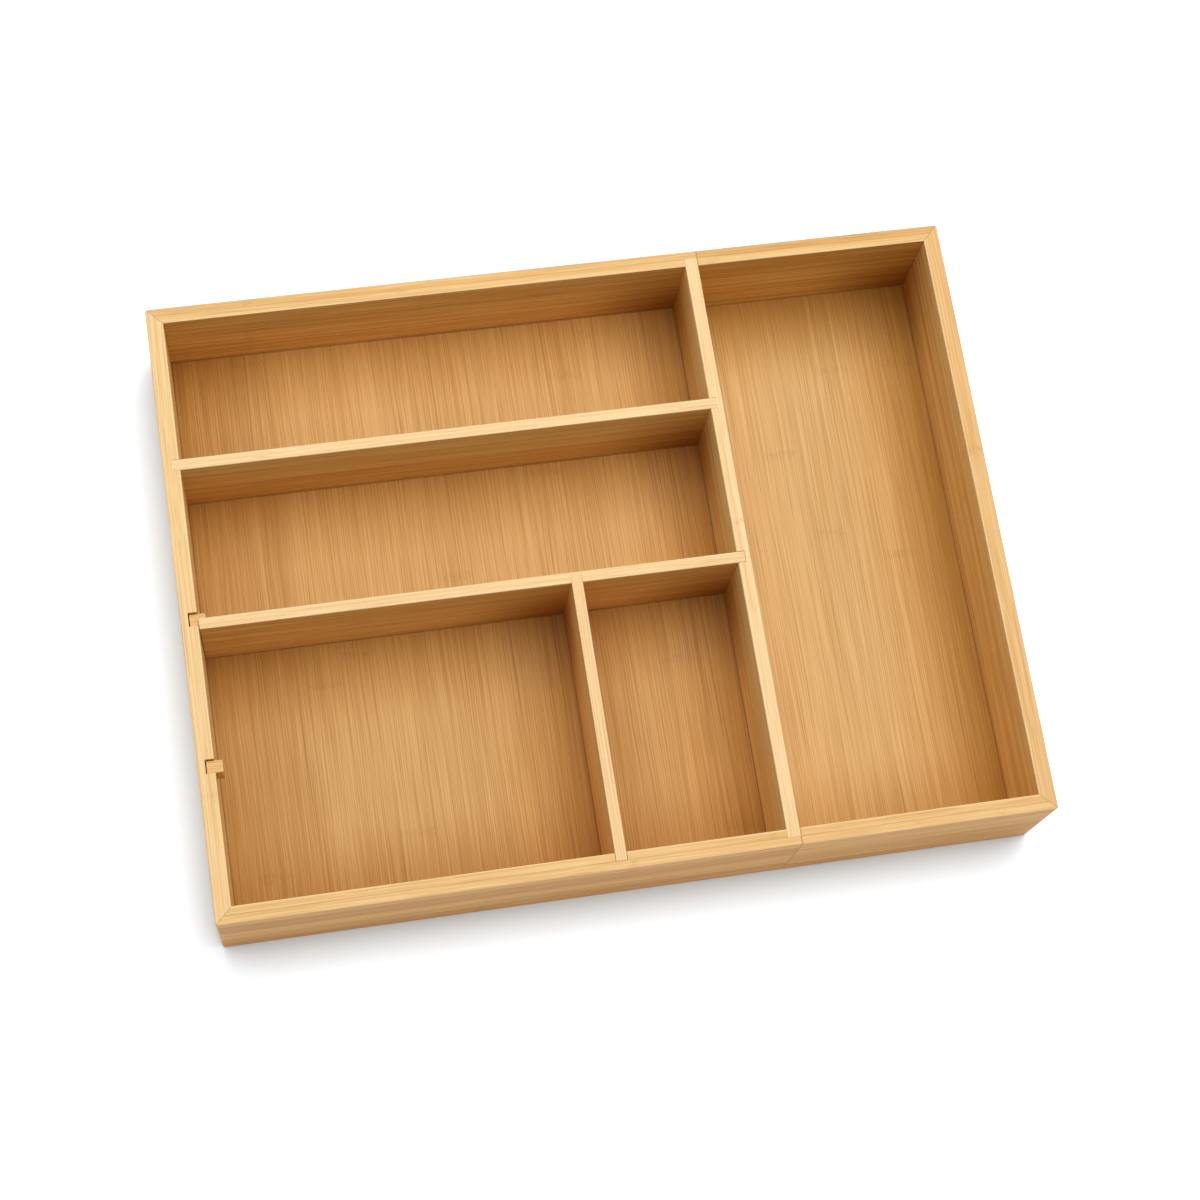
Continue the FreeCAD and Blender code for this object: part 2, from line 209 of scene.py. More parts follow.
table_finish, tree = blank_finish("table_white")
matt = add(tree, "ShaderNodeBsdfDiffuse", (("Color", table_colour),))
open_sky = add(tree, "ShaderNodeAmbientOcclusion", (("Distance", contact_reach),),
               samples=contact_samples).outputs["AO"]
near_lift = squeeze(tree, open_sky, covered, uncovered, 0.0, table_lift)
place = add(tree, "ShaderNodeTexCoord").outputs["Object"]
from_tray = add(tree, "ShaderNodeVectorMath", ((0, place),), operation="LENGTH").outputs["Value"]
far_lift = squeeze(tree, from_tray, far_begins, far_ends)
most_lift = sums(tree, "MAXIMUM", near_lift, far_lift)
lifted = sums(tree, "MULTIPLY", seen_or_mirrored(tree), most_lift)
lift = add(tree, "ShaderNodeEmission", (("Strength", lifted),))
both = add(tree, "ShaderNodeAddShader", ((0, matt.outputs[0]), (1, lift.outputs[0])))
add(tree, "ShaderNodeOutputMaterial", (("Surface", both.outputs[0]),))
table_mesh.materials.append(table_finish)
print("table whitened, but for the", round(1000 * contact_reach), "mm next to the tray")

# %% [markdown]
# ## Soft studio light
# The light comes from one wide panel high above the tray, to the back and to the right. Several lamps
# would cast several shadows, and a wide panel casts a single soft one. It hangs far enough off to light
# all four rails alike. The walls that face the camera are in shade and glow only with light thrown up
# by the floors, every floor darkens softly towards its walls, and the tray's own faint shadow falls to
# the front and to the left.

# %% Hang the panel
panel_width, panel_depth = 2.8, 3.0
panel_place = (0.5, 0.95, 3.1)
panel_watts = 100.5
panel_data = bpy.data.lights.new("panel", "AREA")
panel_data.shape = "RECTANGLE"
panel_data.size = panel_width
panel_data.size_y = panel_depth
panel_data.energy = panel_watts
panel = bpy.data.objects.new("panel", panel_data)
panel.location = panel_place
panel.visible_camera = False
bpy.context.scene.collection.objects.link(panel)
print("panel of", panel_width, "by", panel_depth, "m, hung", panel_place[2], "m above the table")

# %% [markdown]
# The world adds a low even light from all round, as the walls of a bright room do. For the same rays
# that see the table lifted, it is plain white. The picture is shown by the Standard transform, which
# leaves colours as they are written.

# %% Set the world
plain_white = (1.0, 1.0, 1.0, 1.0)
world_level = 0.29
world = bpy.data.worlds.new("studio")
world.use_nodes = True
tree = world.node_tree
tree.nodes.clear()
dim = add(tree, "ShaderNodeBackground", (("Color", plain_white), ("Strength", world_level)))
white = add(tree, "ShaderNodeBackground", (("Color", plain_white), ("Strength", 1.0)))
shown = add(tree, "ShaderNodeMixShader", (
    (0, seen_or_mirrored(tree)), (1, dim.outputs[0]), (2, white.outputs[0])))
add(tree, "ShaderNodeOutputWorld", (("Surface", shown.outputs[0]),))
bpy.context.scene.world = world
bpy.context.scene.view_settings.view_transform = "Standard"
print("world lit at", world_level, "of white")

# %% [markdown]
# ## How bamboo board is put together
# Bamboo board is glued up from split strips of the stem. Each strip has long straight fibres, with
# fine darker threads among them, and every 30 to 40 cm it crosses a joint of the stem, which shows as
# a short speckled mark across the strip. Strips differ a little in tone, and a hair-thin line of glue
# shows between them.
# A picture of bamboo could be wrapped round each piece, but it would stretch and break at the edges.
# Here the finish is worked out in the tray's own coordinates, so a grain runs through the whole
# thickness of a piece, over its edges, and stays with it when the piece slides. For each piece we name
# the way its grain runs and the way its strips lie side by side.

# %% Turn the tray's coordinates into a board's
AXES = {"X": 0, "Y": 1, "Z": 2}


def tray_place(tree):
    """The point that is being coloured, in the tray's own coordinates."""
    return add(tree, "ShaderNodeTexCoord").outputs["Object"]


def parts_of(tree, vector):
    """The X, Y and Z of a vector."""
    return list(add(tree, "ShaderNodeSeparateXYZ", ((0, vector),)).outputs)


def board_axes(tree, grain, stack):
    """Three distances in metres: along the grain, across the strips, and through the board."""
    place = parts_of(tree, tray_place(tree))
    through = next(axis for axis in AXES if axis not in (grain, stack))
    return [place[AXES[axis]] for axis in (grain, stack, through)]


print("grain can run along", ", ".join(AXES))

# %% [markdown]
# ## Noise drawn out along the grain
# Plain noise is a field of round spots, and fibres are long and thin. Multiplying the distance along
# the grain by a small count, and the others by a large one, draws each spot out into a streak. The
# counts are marks per metre, so the fibres have a real size.

# %% Drawn-out noise
NOISE_DETAIL = 2.0
NOISE_ROUGHNESS = 0.55


def stretched(tree, along, across, through, marks):
    """Noise drawn out along the grain; marks are its counts per metre along and across it."""
    scaled = add(tree, "ShaderNodeCombineXYZ", (
        (0, sums(tree, "MULTIPLY", along, marks[0])),
        (1, sums(tree, "MULTIPLY", across, marks[1])),
        (2, sums(tree, "MULTIPLY", through, marks[1])),
    ))
    noise = add(tree, "ShaderNodeTexNoise", (
        ("Vector", scaled.outputs[0]), ("Scale", 1.0),
        ("Detail", NOISE_DETAIL), ("Roughness", NOISE_ROUGHNESS),
    ))
    return noise.outputs[0]


print("each noise carries", int(NOISE_DETAIL), "finer layers of itself")

# %% [markdown]
# ## Strips
# A strip's number is its distance across the board, divided by the width of a strip and rounded
# down. A random value for that number later shifts the strip's fibres along the grain and sets its
# tone, which is why two neighbours never match. The piece's own seed goes into the same draw, and
# moves the first strip by a part of its width.

# %% Strips
STRIP_START = 1.0
STRIP_SEED_STEP = 0.37
STRIP_LINE = (0.00008, 0.0003)


def strips(tree, across, width, seed):
    """The random value of each strip, and a thin dark line on the joint between two strips."""
    start = STRIP_START + STRIP_SEED_STEP * width * seed
    number = sums(tree, "DIVIDE", sums(tree, "ADD", across, start), width)
    whole = sums(tree, "FLOOR", number)
    numbers = add(tree, "ShaderNodeCombineXYZ", ((0, whole), (1, float(seed)))).outputs[0]
    draw = add(tree, "ShaderNodeTexWhiteNoise", (("Vector", numbers),), noise_dimensions="2D")
    within = sums(tree, "SUBTRACT", number, whole)
    nearer = sums(tree, "MINIMUM", within, sums(tree, "SUBTRACT", 1.0, within))
    from_joint = sums(tree, "MULTIPLY", nearer, width)
    return draw.outputs["Value"], fade(tree, from_joint, *STRIP_LINE)


print("a glue line between strips is", round(2000 * STRIP_LINE[1], 2), "mm wide at most")

# %% [markdown]
# ## Stem joints
# Where a strip crosses a joint of the stem, its fibres knot into a short speckled band. The bands come
# at a fixed spacing, and the strip's random value moves them along, so that they don't line up from
# strip to strip. Coarse noise makes the band's ends ragged and fine noise breaks it into specks.

# %% Stem joints
STEM_JOINT_SPACING = 0.36
STEM_JOINT_SCATTER = 7.3
STEM_JOINT_BAND = (0.0004, 0.0038)
RAGGED_MARKS, RAGGED_DEPTH = (60.0, 190.0), 0.008
SPECKLE_MARKS, SPECKLE_RANGE = (520.0, 1300.0), (0.42, 0.62)


def stem_joints(tree, along, across, through, chance):
    """A speckled band across each strip, about five millimetres long, from 0 to 1."""
    scatter = sums(tree, "MULTIPLY", chance, STEM_JOINT_SCATTER)
    turns = sums(tree, "ADD", sums(tree, "DIVIDE", along, STEM_JOINT_SPACING), scatter)
    phase = sums(tree, "ABSOLUTE", about_zero(tree, sums(tree, "FRACT", turns)))
    distance = sums(tree, "MULTIPLY", phase, STEM_JOINT_SPACING)
    wave = about_zero(tree, stretched(tree, along, across, through, RAGGED_MARKS))
    ragged = sums(tree, "ADD", distance, sums(tree, "MULTIPLY", wave, RAGGED_DEPTH))
    speckle = stretched(tree, along, across, through, SPECKLE_MARKS)
    band = fade(tree, ragged, *STEM_JOINT_BAND)
    return sums(tree, "MULTIPLY", band, squeeze(tree, speckle, *SPECKLE_RANGE))


print("a stem joint every", round(1000 * STEM_JOINT_SPACING), "mm of each strip")

# %% [markdown]
# ## Glued seams
# The rails meet in mitres at the four corners, and the front and back rails are made of two plies of
# the same thickness. Both show as thin brown lines of glue along the top, and so does the joint where
# the extension's rails butt against those of the main box. Thin strips of mesh could stand for these
# lines, but the distance to each seam can be worked out from the tray's coordinates: a mitre lies
# where a point is as far from the end of the tray as it is from its side, and the plies meet at a
# fixed depth. The line between the plies wanders and breaks up with the fibres.

# %% Seams
HALF_WIDTH, HALF_DEPTH = (float(cad_box[1][i]) for i in (0, 1))
RAIL_THICK = 0.0088
PLY_SEAM = HALF_DEPTH - RAIL_THICK / 2
RAIL_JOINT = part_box("main_front_outer_ply")[1].x
MITRE_LINE, MITRE_STRENGTH = (0.00015, 0.0006), 0.55
PLY_LINE, PLY_WANDER, PLY_BREAKS = (0.00005, 0.00055), 0.0011, (0.35, 0.62)
RAIL_LINE, RAIL_STRENGTH = (0.0001, 0.0008), 0.6


def seams(tree, fibre, two_plies):
    """How dark the glue lines of a rail are at a point, from 0 to 1."""
    place = parts_of(tree, tray_place(tree))
    from_middle = [sums(tree, "ABSOLUTE", place[i]) for i in (0, 1)]
    from_end = sums(tree, "SUBTRACT", HALF_WIDTH, from_middle[0])
    from_side = sums(tree, "SUBTRACT", HALF_DEPTH, from_middle[1])
    lines = [fade(tree, gap_to(tree, from_end, from_side), *MITRE_LINE, MITRE_STRENGTH)]
    if two_plies:
        wander = sums(tree, "MULTIPLY", about_zero(tree, fibre), PLY_WANDER)
        from_ply = sums(tree, "ADD", gap_to(tree, from_middle[1], PLY_SEAM), wander)
        ply_line = fade(tree, from_ply, *PLY_LINE)
        lines.append(sums(tree, "MULTIPLY", ply_line, squeeze(tree, fibre, *PLY_BREAKS)))
        from_joint = gap_to(tree, place[0], RAIL_JOINT)
        lines.append(fade(tree, from_joint, *RAIL_LINE, RAIL_STRENGTH))
    return folded(tree, "MAXIMUM", lines)


print("plies meet", round(1000 * PLY_SEAM, 1), "mm from the middle of the tray")

# %% [markdown]
# ## Painted highlights on the arrises
# The long edges of the boards are eased, and a thin pale line is painted along each arris as the
# highlight where the light catches it. On a divider these lines lie on both sides of its own box. On a
# rail only the inner arris shows pale. It lies at the same distance from the middle of the tray on both
# sides, so one distance serves two rails.

# %% Arrises
ARRIS_LINE = (0.0003, 0.0011)


def arrises(tree, name, grain, is_rail):
    """How close a point of a board is to an arris, where a highlight is painted, from 0 to 1."""
    side = {"X": 1, "Y": 0}[grain]
    across = parts_of(tree, tray_place(tree))[side]
    if is_rail:
        across = sums(tree, "ABSOLUTE", across)
        lines = [(HALF_WIDTH, HALF_DEPTH)[side] - RAIL_THICK]
    else:
        lines = [corner[side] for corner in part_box(name)]
    gaps = [gap_to(tree, across, line) for line in lines]
    return fade(tree, folded(tree, "MINIMUM", gaps), *ARRIS_LINE)


print("arrises about", round(1000 * ARRIS_LINE[1], 1), "mm wide")

# %% [markdown]
# ## Painted shade along the walls
# A floor gets a painted shade. It stays palest in the middle of a compartment and turns a darker amber
# towards the walls, where shade falls. Each compartment is a rectangle between the pieces around it,
# and each of its four sides has its own strength of painted shade and its own reach. The extension's
# floor runs on under the main floor, so its painted shade on the left starts at that hidden end and
# reaches furthest.

# %% Compartments
row, cross, short, centre = (
    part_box(name) for name in ("row_divider", "cross_divider", "short_divider", "centre_wall"))
left, right = -HALF_WIDTH + RAIL_THICK, HALF_WIDTH - RAIL_THICK
front, back = -HALF_DEPTH + RAIL_THICK, HALF_DEPTH - RAIL_THICK
hidden_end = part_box("wing_floor")[0].x
floor_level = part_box("main_floor")[1].z
MAIN_REACHES = (0.075, 0.055, 0.050, 0.065)
WING_REACHES = (0.220, 0.055, 0.050, 0.065)
# Each row holds the left, right, front and back sides, how much painted shade each has, and how far
# that reaches.
main_compartments = [
    ((left, centre[0].x, row[1].y, back), (0.72, 0.50, 0.0, 0.0), MAIN_REACHES),
    ((left, centre[0].x, cross[1].y, row[0].y), (0.50, 0.56, 0.0, 0.10), MAIN_REACHES),
    ((left, short[0].x, front, cross[0].y), (0.50, 0.48, 0.70, 0.25), MAIN_REACHES),
    ((short[1].x, centre[0].x, front, cross[0].y), (0.45, 0.42, 0.68, 0.22), MAIN_REACHES),
]
wing_compartments = [
    ((hidden_end, right, front, back), (0.50, 0.68, 0.60, 0.62), WING_REACHES),
]
all_compartments = main_compartments + wing_compartments
print("compartments:", len(all_compartments))

# %% [markdown]
# The distance to a side is one difference, and a point is inside a compartment where all four distances
# are positive. Along the right and back walls the floor lies in shade, and its golden tint there is
# painted. Right at the foot of a wall a hair-thin dark line is painted as the shadow in the joint.

# %% Amber, gold and the line at the foot of a wall
SHADE_REACH = 0.06
FOOT_SHADOW_LINE, FOOT_SHADOW_BROWN = (0.0002, 0.0009), 0.6


def gaps_to_sides(tree, place, sides):
    """The distances of a point from the four sides of a compartment, and the smallest of them."""
    west, east, south, north = sides
    x, y, _ = parts_of(tree, place)
    pairs = ((x, west), (east, x), (y, south), (north, y))
    gaps = [sums(tree, "SUBTRACT", *pair) for pair in pairs]
    return gaps, folded(tree, "MINIMUM", gaps)


def along_walls(tree, compartments):
    """How much painted shade a floor gets towards the walls, how golden, and the thin painted shadow
    line at their foot.
    """
    place = tray_place(tree)
    painted_shade, gold, foot = 0.0, 0.0, 0.0
    for sides, strengths, reaches in compartments:
        gaps, nearest = gaps_to_sides(tree, place, sides)
        within = sums(tree, "GREATER_THAN", nearest, 0.0)
        clear = folded(tree, "MULTIPLY", [
            squeeze(tree, gap, 0.0, reach, 1.0 - strength, 1.0)
            for gap, strength, reach in zip(gaps, strengths, reaches)])
        tinted = sums(tree, "SUBTRACT", 1.0, clear)
        to_shade = sums(tree, "MINIMUM", gaps[1], gaps[3])
        shaded = fade(tree, to_shade, 0.0, SHADE_REACH)
        line = fade(tree, nearest, *FOOT_SHADOW_LINE, FOOT_SHADOW_BROWN)
        painted_shade = sums(tree, "ADD", painted_shade, sums(tree, "MULTIPLY", within, tinted))
        gold = sums(tree, "ADD", gold, sums(tree, "MULTIPLY", within, shaded))
        foot = sums(tree, "ADD", foot, sums(tree, "MULTIPLY", within, line))
    return painted_shade, gold, foot


print("the line at the foot of a wall is", round(1000 * FOOT_SHADOW_LINE[1], 1), "mm wide")

# %% [markdown]
# The far right corner of each compartment lies deepest in shade, so there the floor and both walls get
# a deeper painted shade. A wall's own face lies on the side of the compartment and not inside it, so
# the sides are moved out by less than a millimetre to take the face in.

# %% Far corners
CORNER_REACH = 0.07
CORNER_DEPTH = 0.0006


def in_corners(tree, compartments):
    """How close a point is to the far right corner of its compartment, where shade is painted, from 0
    to 1.
    """
    place = tray_place(tree)
    deepest = 0.0
    for sides, _, _ in compartments:
        corner = (sides[1], sides[3], floor_level)
        away = add(tree, "ShaderNodeVectorMath", ((0, place), (1, corner)), operation="DISTANCE")
        near = fade(tree, away.outputs["Value"], 0.0, CORNER_REACH)
        nearest_side = gaps_to_sides(tree, place, sides)[1]
        within = sums(tree, "GREATER_THAN", nearest_side, -CORNER_DEPTH)
        deepest = sums(tree, "MAXIMUM", deepest, sums(tree, "MULTIPLY", within, near))
    return deepest


print("far corners deepen within", round(1000 * CORNER_REACH), "mm")

# %% [markdown]
# ## Fibres
# Three widths of fibre are laid over each other: broad streaks, ordinary fibres and hairlines. A slow
# bend keeps them from looking ruled, and each strip's random value shifts them along the grain. The
# upright faces show the flat side of the strips, where broad streaks and differences between strips
# are bolder than on the sanded top edges. All that a finish needs to know about the wood at a point is
# gathered in one place, because the colour, the lines and the gloss draw on the same fibres.

# %% Fibres
STRIP_SHIFT = 31.0
BEND_MARKS, BEND_DEPTH = (7.0, 20.0), 0.004
BROAD_MARKS, FIBRE_MARKS, HAIR_MARKS = (4.0, 320.0), (9.0, 1700.0), (20.0, 3200.0)
THREAD_MARKS = (12.0, 1800.0)
LEVEL_RANGE = (0.5, 0.9)
FACE_BOLDER = 1.3


def read_wood(tree, board, seed):
    """The wood at a point: which way it faces, how bold it is, its strip, fibres and marks."""
    along, across, through = board_axes(tree, board["grain"], board["stack"])
    chance, strip_line = strips(tree, across, board["strip"], seed)
    shift = sums(tree, "MULTIPLY_ADD", chance, STRIP_SHIFT, float(seed))
    shifted = sums(tree, "ADD", along, shift)
    bend = about_zero(tree, stretched(tree, shifted, across, through, BEND_MARKS))
    wavy = sums(tree, "ADD", across, sums(tree, "MULTIPLY", bend, BEND_DEPTH))
    widths = {"broad": BROAD_MARKS, "fibre": FIBRE_MARKS, "hair": HAIR_MARKS,
              "thread": THREAD_MARKS}
    wood = {name: stretched(tree, shifted, wavy, through, marks)
            for name, marks in widths.items()}
    normal = parts_of(tree, add(tree, "ShaderNodeTexCoord").outputs["Normal"])
    wood["facing"] = [sums(tree, "ABSOLUTE", part) for part in normal]
    wood["upright"] = fade(tree, wood["facing"][2], *LEVEL_RANGE)
    wood["bold"] = sums(tree, "MULTIPLY_ADD", wood["upright"], FACE_BOLDER, board["contrast"])
    wood["chance"], wood["strip_line"] = chance, strip_line
    wood["joint"] = stem_joints(tree, along, across, through, chance)
    return wood


print("ordinary fibres are about", round(1000 / FIBRE_MARKS[1], 1), "mm wide")

# %% [markdown]
# The sum of the layers walks from the brown of the threads to the cream of the pith. Each layer has a
# share in it, and two of the shares are larger on upright faces.

# %% Tone
FIBRE_SHARE, HAIR_SHARE = 1.2, 1.2
BROAD_SHARE, BROAD_UPRIGHT = 0.18, 1.0
STRIP_SHARE, STRIP_UPRIGHT = 0.14, 0.2
TONE_RANGE = (-0.4, 0.4)


def tone_of(tree, wood):
    """Where the wood stands between the brown of its threads, 0, and the cream of its pith, 1."""
    streaked = sums(tree, "MULTIPLY_ADD", wood["upright"], BROAD_UPRIGHT, BROAD_SHARE)
    stripy = sums(tree, "MULTIPLY_ADD", wood["upright"], STRIP_UPRIGHT, STRIP_SHARE)
    shares = {"broad": streaked, "fibre": FIBRE_SHARE, "hair": HAIR_SHARE, "chance": stripy}
    drift = 0.0
    for layer, share in shares.items():
        swing = sums(tree, "MULTIPLY", about_zero(tree, wood[layer]), share)
        drift = sums(tree, "ADD", drift, swing)
    return squeeze(tree, sums(tree, "MULTIPLY", drift, wood["bold"]), *TONE_RANGE)


print("share of the ordinary fibres in the tone:", FIBRE_SHARE)

# %% [markdown]
# ## Faces and painted highlights
# The upright faces are deeper in colour than the sanded top edges, so each kind of board has a tint for
# its faces, and the outside of the rails has a tint of its own. These tints also paint in light and
# shade: each is set so that its faces come out as bright and as warm as they look under this light. A
# rail is one piece with one finish, so its outside is told from its inside by the surface direction:
# outside, it points away from the middle of the tray. The rounded edges get a painted highlight, a
# paler colour where the light would catch them. They are found from the surface direction too: only
# there does it lie between two axes.

# %% Faces and edges
LEVEL_ONLY = (1.0, 1.0, 0.0)
ROUNDED = (0.76, 0.97)
EDGE_HIGHLIGHT = 0.6
outer_face = (1.06, 0.84, 0.55, 1.0)
highlight_cream = linear(255, 229, 178)


def outward(tree):
    """One where a surface looks away from the middle of the tray, nought where it looks inwards."""
    spot = add(tree, "ShaderNodeTexCoord").outputs
    level = add(tree, "ShaderNodeVectorMath", ((0, spot["Object"]), (1, LEVEL_ONLY)),
                operation="MULTIPLY").outputs[0]
    away = add(tree, "ShaderNodeVectorMath", ((0, level), (1, spot["Normal"])),
               operation="DOT_PRODUCT").outputs["Value"]
    return sums(tree, "GREATER_THAN", away, 0.0)


def faced(tree, board, wood):
    """The colour of the fibres, tinted on upright faces."""
    colour = mixed(tree, tone_of(tree, wood), board["brown"], board["cream"])
    tint = board["face"]
    if board["rail"]:
        tint = mixed(tree, outward(tree), tint, outer_face)
    return mixed(tree, wood["upright"], colour, tint, "MULTIPLY")


def highlit(tree, name, board, wood, colour):
    """That colour with painted highlights: paler on roundings and along arrises."""
    flattest = folded(tree, "MAXIMUM", wood["facing"])
    highlight_share = fade(tree, flattest, *ROUNDED, EDGE_HIGHLIGHT)
    if board["arris"]:
        level = sums(tree, "SUBTRACT", 1.0, wood["upright"])
        arris = arrises(tree, name, board["grain"], board["rail"])
        lit_arris = sums(tree, "MULTIPLY", level, arris)
        highlight_share = sums(tree, "MAXIMUM", highlight_share, sums(tree, "MULTIPLY", lit_arris, EDGE_HIGHLIGHT))
    return mixed(tree, highlight_share, colour, highlight_cream)


# The share printed is the strength of the painted highlight on the roundings.
print("share of worn cream on the roundings:", EDGE_HIGHLIGHT)

# %% [markdown]
# ## Painted shade in the compartments
# Here the painted shade along the walls, its golden tint and the painted shade of the far corners,
# measured above, tint the colour. Multiplying keeps the grain visible under the tint, which laying a
# brown over it would hide. Floors know their own compartments. Rails and dividers border on several, so
# for their corners all of them are looked at.

# %% Painted shade of the compartments
FLOOR_CORNER, WALL_CORNER = 0.3, 0.65
# Painted shade: an amber along the walls, a golden tint in their shade, and a deeper amber in the far
# corners.
painted_shade_amber = (0.55, 0.42, 0.10, 1.0)
shade_gold = (1.05, 0.97, 0.74, 1.0)
painted_corner_shade = (0.46, 0.29, 0.07, 1.0)


def with_painted_shade(tree, board, wood, colour):
    """That colour with the painted shade of its compartments, and the painted shadow line at the foot
    of the walls.
    """
    foot = 0.0
    if board["compartments"]:
        painted_shade, gold, foot = along_walls(tree, board["compartments"])
        colour = mixed(tree, painted_shade, colour, painted_shade_amber, "MULTIPLY")
        colour = mixed(tree, gold, colour, shade_gold, "MULTIPLY")
    if board["arris"] or board["compartments"]:
        corner = in_corners(tree, board["compartments"] or all_compartments)
        depth = sums(tree, "MULTIPLY_ADD", wood["upright"], WALL_CORNER, FLOOR_CORNER)
        shade = sums(tree, "MULTIPLY", corner, depth)
        colour = mixed(tree, shade, colour, painted_corner_shade, "MULTIPLY")
    return colour, foot


# The share printed is the strength of the painted shade in the far corners of a floor.
print("share of amber in the far corners of a floor:", FLOOR_CORNER)

# %% [markdown]
# ## Brown lines
# Threads, stem joints, the glue between strips, the seams of the rails and the painted shadow line at
# the foot of a wall are all the same brown in different strengths. Where two of them cross, the
# stronger one counts, so that a crossing doesn't turn black.

# %% Brown lines
THREAD_RANGE = (0.58, 0.72)
THREAD_BROWN = 0.28
JOINT_BROWN = 0.16
STRIP_LINE_BROWN = 0.14
SEAM_BROWN = 0.5
# The same brown serves the glue and the painted shadow at the foot of the walls.
glue_and_shadow_brown = linear(112, 62, 18)


def brown_lines(tree, name, board, wood, foot):
    """How brown the strongest line at a point is, from 0 to 1."""
    thread = squeeze(tree, wood["thread"], *THREAD_RANGE)
    marks = [
        (thread, sums(tree, "MULTIPLY", wood["bold"], THREAD_BROWN)),
        (wood["joint"], JOINT_BROWN),
        (wood["strip_line"], sums(tree, "MULTIPLY", wood["bold"], STRIP_LINE_BROWN)),
    ]
    if board["rail"]:
        marks.append((seams(tree, wood["fibre"], two_plies=name.endswith("ply")), SEAM_BROWN))
    lines = [sums(tree, "MULTIPLY", mark, strength) for mark, strength in marks]
    return folded(tree, "MAXIMUM", lines + [foot])


print("glue brown in linear light:", [round(part, 3) for part in glue_and_shadow_brown])

# %% [markdown]
# ## A satin surface
# The boards are lacquered with a thin satin coat that follows the fibres. So the fibres also make a
# faint relief, the stem joints dip a little, and the pale fibres are smoother than the dark ones. The
# gloss is low, as on wiped wood.

# %% Bamboo
HAIR_RELIEF, JOINT_RELIEF = 0.5, 0.6
RELIEF_STRENGTH, RELIEF_DEPTH = 0.25, 0.00025
SATIN_FIBRES, SATIN_ROUGHNESS = (0.3, 0.7), (0.58, 0.44)
SATIN_SPECULAR = 0.2


def satin(tree, wood, colour):
    """The shader of a satin coat over the fibres."""
    relief = sums(tree, "ADD", wood["fibre"], sums(tree, "MULTIPLY", wood["hair"], HAIR_RELIEF))
    relief = sums(tree, "SUBTRACT", relief, sums(tree, "MULTIPLY", wood["joint"], JOINT_RELIEF))
    bump = add(tree, "ShaderNodeBump", (
        ("Height", relief), ("Strength", RELIEF_STRENGTH), ("Distance", RELIEF_DEPTH)))
    coat = add(tree, "ShaderNodeBsdfPrincipled", (
        ("Base Color", colour),
        ("Roughness", squeeze(tree, wood["fibre"], *SATIN_FIBRES, *SATIN_ROUGHNESS)),
        ("Specular IOR Level", SATIN_SPECULAR),
        ("Normal", bump.outputs[0]),
    ))
    return coat.outputs[0]


def bamboo(name, board, seed):
    """A bamboo finish for one piece, cut from a kind of board that is described further down."""
    finish, tree = blank_finish("bamboo_" + name)
    wood = read_wood(tree, board, seed)
    colour = highlit(tree, name, board, wood, faced(tree, board, wood))
    colour, foot = with_painted_shade(tree, board, wood, colour)
    colour = mixed(tree, brown_lines(tree, name, board, wood, foot), colour, glue_and_shadow_brown)
    add(tree, "ShaderNodeOutputMaterial", (("Surface", satin(tree, wood, colour)),))
    return finish


print("roughness from", SATIN_ROUGHNESS[1], "to", SATIN_ROUGHNESS[0])

# %% [markdown]
# ## Tones
# Bamboo is sorted by tone before it is glued. The dividers are the palest, the rails a little deeper,
# and the floors deepest. A tone is a pair of colours, the cream of the pith and the brown of the
# threads, and the contrast between them.

# %% Tones
def tones(cream, brown, contrast):
    """A tone of bamboo: its cream and its brown, as picture values, and its contrast."""
    return {"cream": linear(*cream), "brown": linear(*brown), "contrast": contrast}


pale = tones((255, 221, 163), (235, 187, 121), 0.8)
even = tones((249, 208, 144), (223, 170, 99), 0.8)
golden = tones((242, 200, 137), (216, 162, 93), 0.8)
palest = tones((255, 223, 169), (238, 190, 128), 0.8)
dull = tones((242, 200, 136), (216, 166, 97), 0.9)
tanned = tones((236, 190, 125), (208, 153, 84), 1.0)
deep = tones((223, 176, 112), (191, 140, 74), 1.0)
# The extension's floor is paler than the main floor partly as painted light, because its wide
# compartment is lit more brightly than the small ones.
light = tones((231, 188, 126), (200, 152, 87), 1.0)

# These face tints are partly the boards' own deeper colour on their faces and partly painted light and
# shade. Each is set so that its faces come out as bright and as warm as they look under this light.
inner_face = (0.92, 0.9, 0.72, 1.0)
divider_face = (0.89, 0.81, 0.57, 1.0)
short_face = (1.0, 0.92, 0.72, 1.0)
side_face = (1.0, 1.09, 1.0, 1.0)
right_face = (1.08, 1.18, 1.18, 1.0)
centre_face = (1.0, 1.06, 0.92, 1.0)
row_face = (0.79, 0.73, 0.5, 1.0)
wing_face = (0.86, 0.8, 0.58, 1.0)
key_face = (1.0, 0.95, 0.8, 1.0)
plain_face = (1.0, 1.0, 1.0, 1.0)
print("cream of the palest boards in linear light:", [round(part, 3) for part in palest["cream"]])

# %% [markdown]
# ## Dressing the tray
# Each piece gets its own cut of board. Front and back rails, the row divider and the cross divider
# run left to right. The left and right rails, the centre wall and the short divider run front to
# back, and so do both floors. Rails and floors are glued from the widest strips, and small pieces are
# cut from narrow ones. Only rails and dividers have pale arrises.

# %% Kinds of board
WIDE_STRIP, BOARD_STRIP, NARROW_STRIP = 0.019, 0.017, 0.012


def board(tone, grain, stack, strip, face=plain_face, rail=False, arris=False, compartments=()):
    """One kind of board: its tone, how its strips lie, their width, and the tint of its faces."""
    return {**tone, "grain": grain, "stack": stack, "strip": strip, "face": face,
            "rail": rail, "arris": arris, "compartments": compartments}


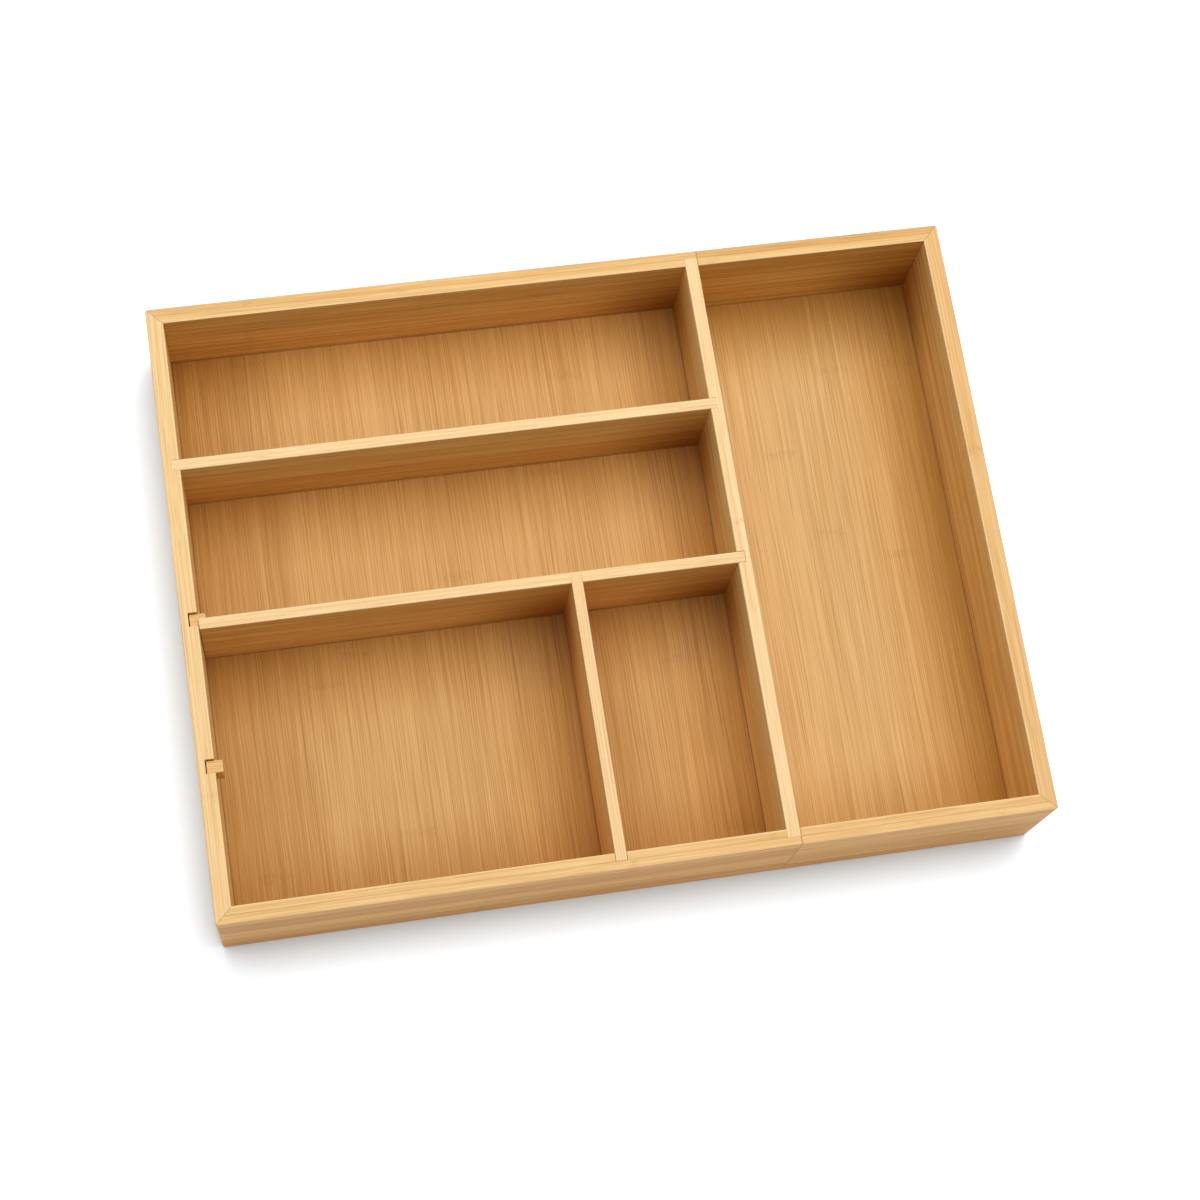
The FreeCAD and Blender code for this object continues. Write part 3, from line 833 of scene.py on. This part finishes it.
boards = {
    "outer_ply": board(even, "X", "Z", WIDE_STRIP, rail=True, arris=True),
    "back_ply": board(tanned, "X", "Z", WIDE_STRIP, rail=True, arris=True),
    "inner_ply": board(even, "X", "Z", WIDE_STRIP, inner_face, rail=True, arris=True),
    "wing_back_ply": board(even, "X", "Z", WIDE_STRIP, wing_face, rail=True, arris=True),
    "left_rail": board(pale, "Y", "Z", WIDE_STRIP, side_face, rail=True, arris=True),
    "right_rail": board(golden, "Y", "Z", WIDE_STRIP, right_face, rail=True, arris=True),
    "long_board": board(palest, "X", "Z", BOARD_STRIP, divider_face, arris=True),
    "row_board": board(palest, "X", "Z", BOARD_STRIP, row_face, arris=True),
    "cross_board": board(palest, "Y", "Z", BOARD_STRIP, centre_face, arris=True),
    "short_board": board(palest, "Y", "Z", BOARD_STRIP, short_face, arris=True),
    "slat": board(even, "X", "Z", BOARD_STRIP, outer_face),
    "strip": board(even, "X", "Y", NARROW_STRIP, outer_face),
    "cross_strip": board(even, "Y", "X", NARROW_STRIP, outer_face),
    "key": board(dull, "X", "Y", NARROW_STRIP, key_face),
    "spline": board(even, "Z", "Y", NARROW_STRIP, outer_face),
    "main_floor": board(deep, "Y", "X", WIDE_STRIP, compartments=main_compartments),
    "wing_floor": board(light, "Y", "X", WIDE_STRIP, compartments=wing_compartments),
}
print("kinds of board:", ", ".join(boards))

# %% [markdown]
# Every piece is named under the kind of board that it is cut from. The pieces are dressed in the order
# of their names, and a piece's place in that order is its seed, so two pieces of one kind still have
# different strips.

# %% Dress each piece
cut_from = {
    "outer_ply": ["main_front_outer_ply", "wing_front_outer_ply", "main_back_outer_ply"],
    "back_ply": ["wing_back_outer_ply"],
    "inner_ply": ["main_front_inner_ply", "wing_front_inner_ply", "main_back_inner_ply"],
    "wing_back_ply": ["wing_back_inner_ply"],
    "left_rail": ["left_rail"],
    "right_rail": ["right_rail"],
    "long_board": ["cross_divider"],
    "row_board": ["row_divider"],
    "cross_board": ["centre_wall"],
    "short_board": ["short_divider"],
    "slat": ["front_slat", "back_slat"],
    "strip": ["front_runner", "back_runner"],
    "cross_strip": ["stop_batten", "stop_cleat"],
    "key": ["cross_key", "spare_key"],
    "spline": [name for name in pieces if name.endswith("spline")],
    "main_floor": ["main_floor"],
    "wing_floor": ["wing_floor"],
}
kind_of = {name: kind for kind, names in cut_from.items() for name in names}
for seed, name in enumerate(sorted(pieces), start=1):
    surface = pieces[name].data.materials
    surface.clear()
    surface.append(bamboo(name, boards[kind_of[name]], seed))
print("dressed", len(kind_of), "of", len(pieces), "pieces")

# %% [markdown]
# ## The box at the end
# The box of the solids, taken when the model was loaded, is printed at the end.

# %% Print the box of the solids
print("box of the solids:", [[round(side, 4) for side in corner] for corner in cad_box])
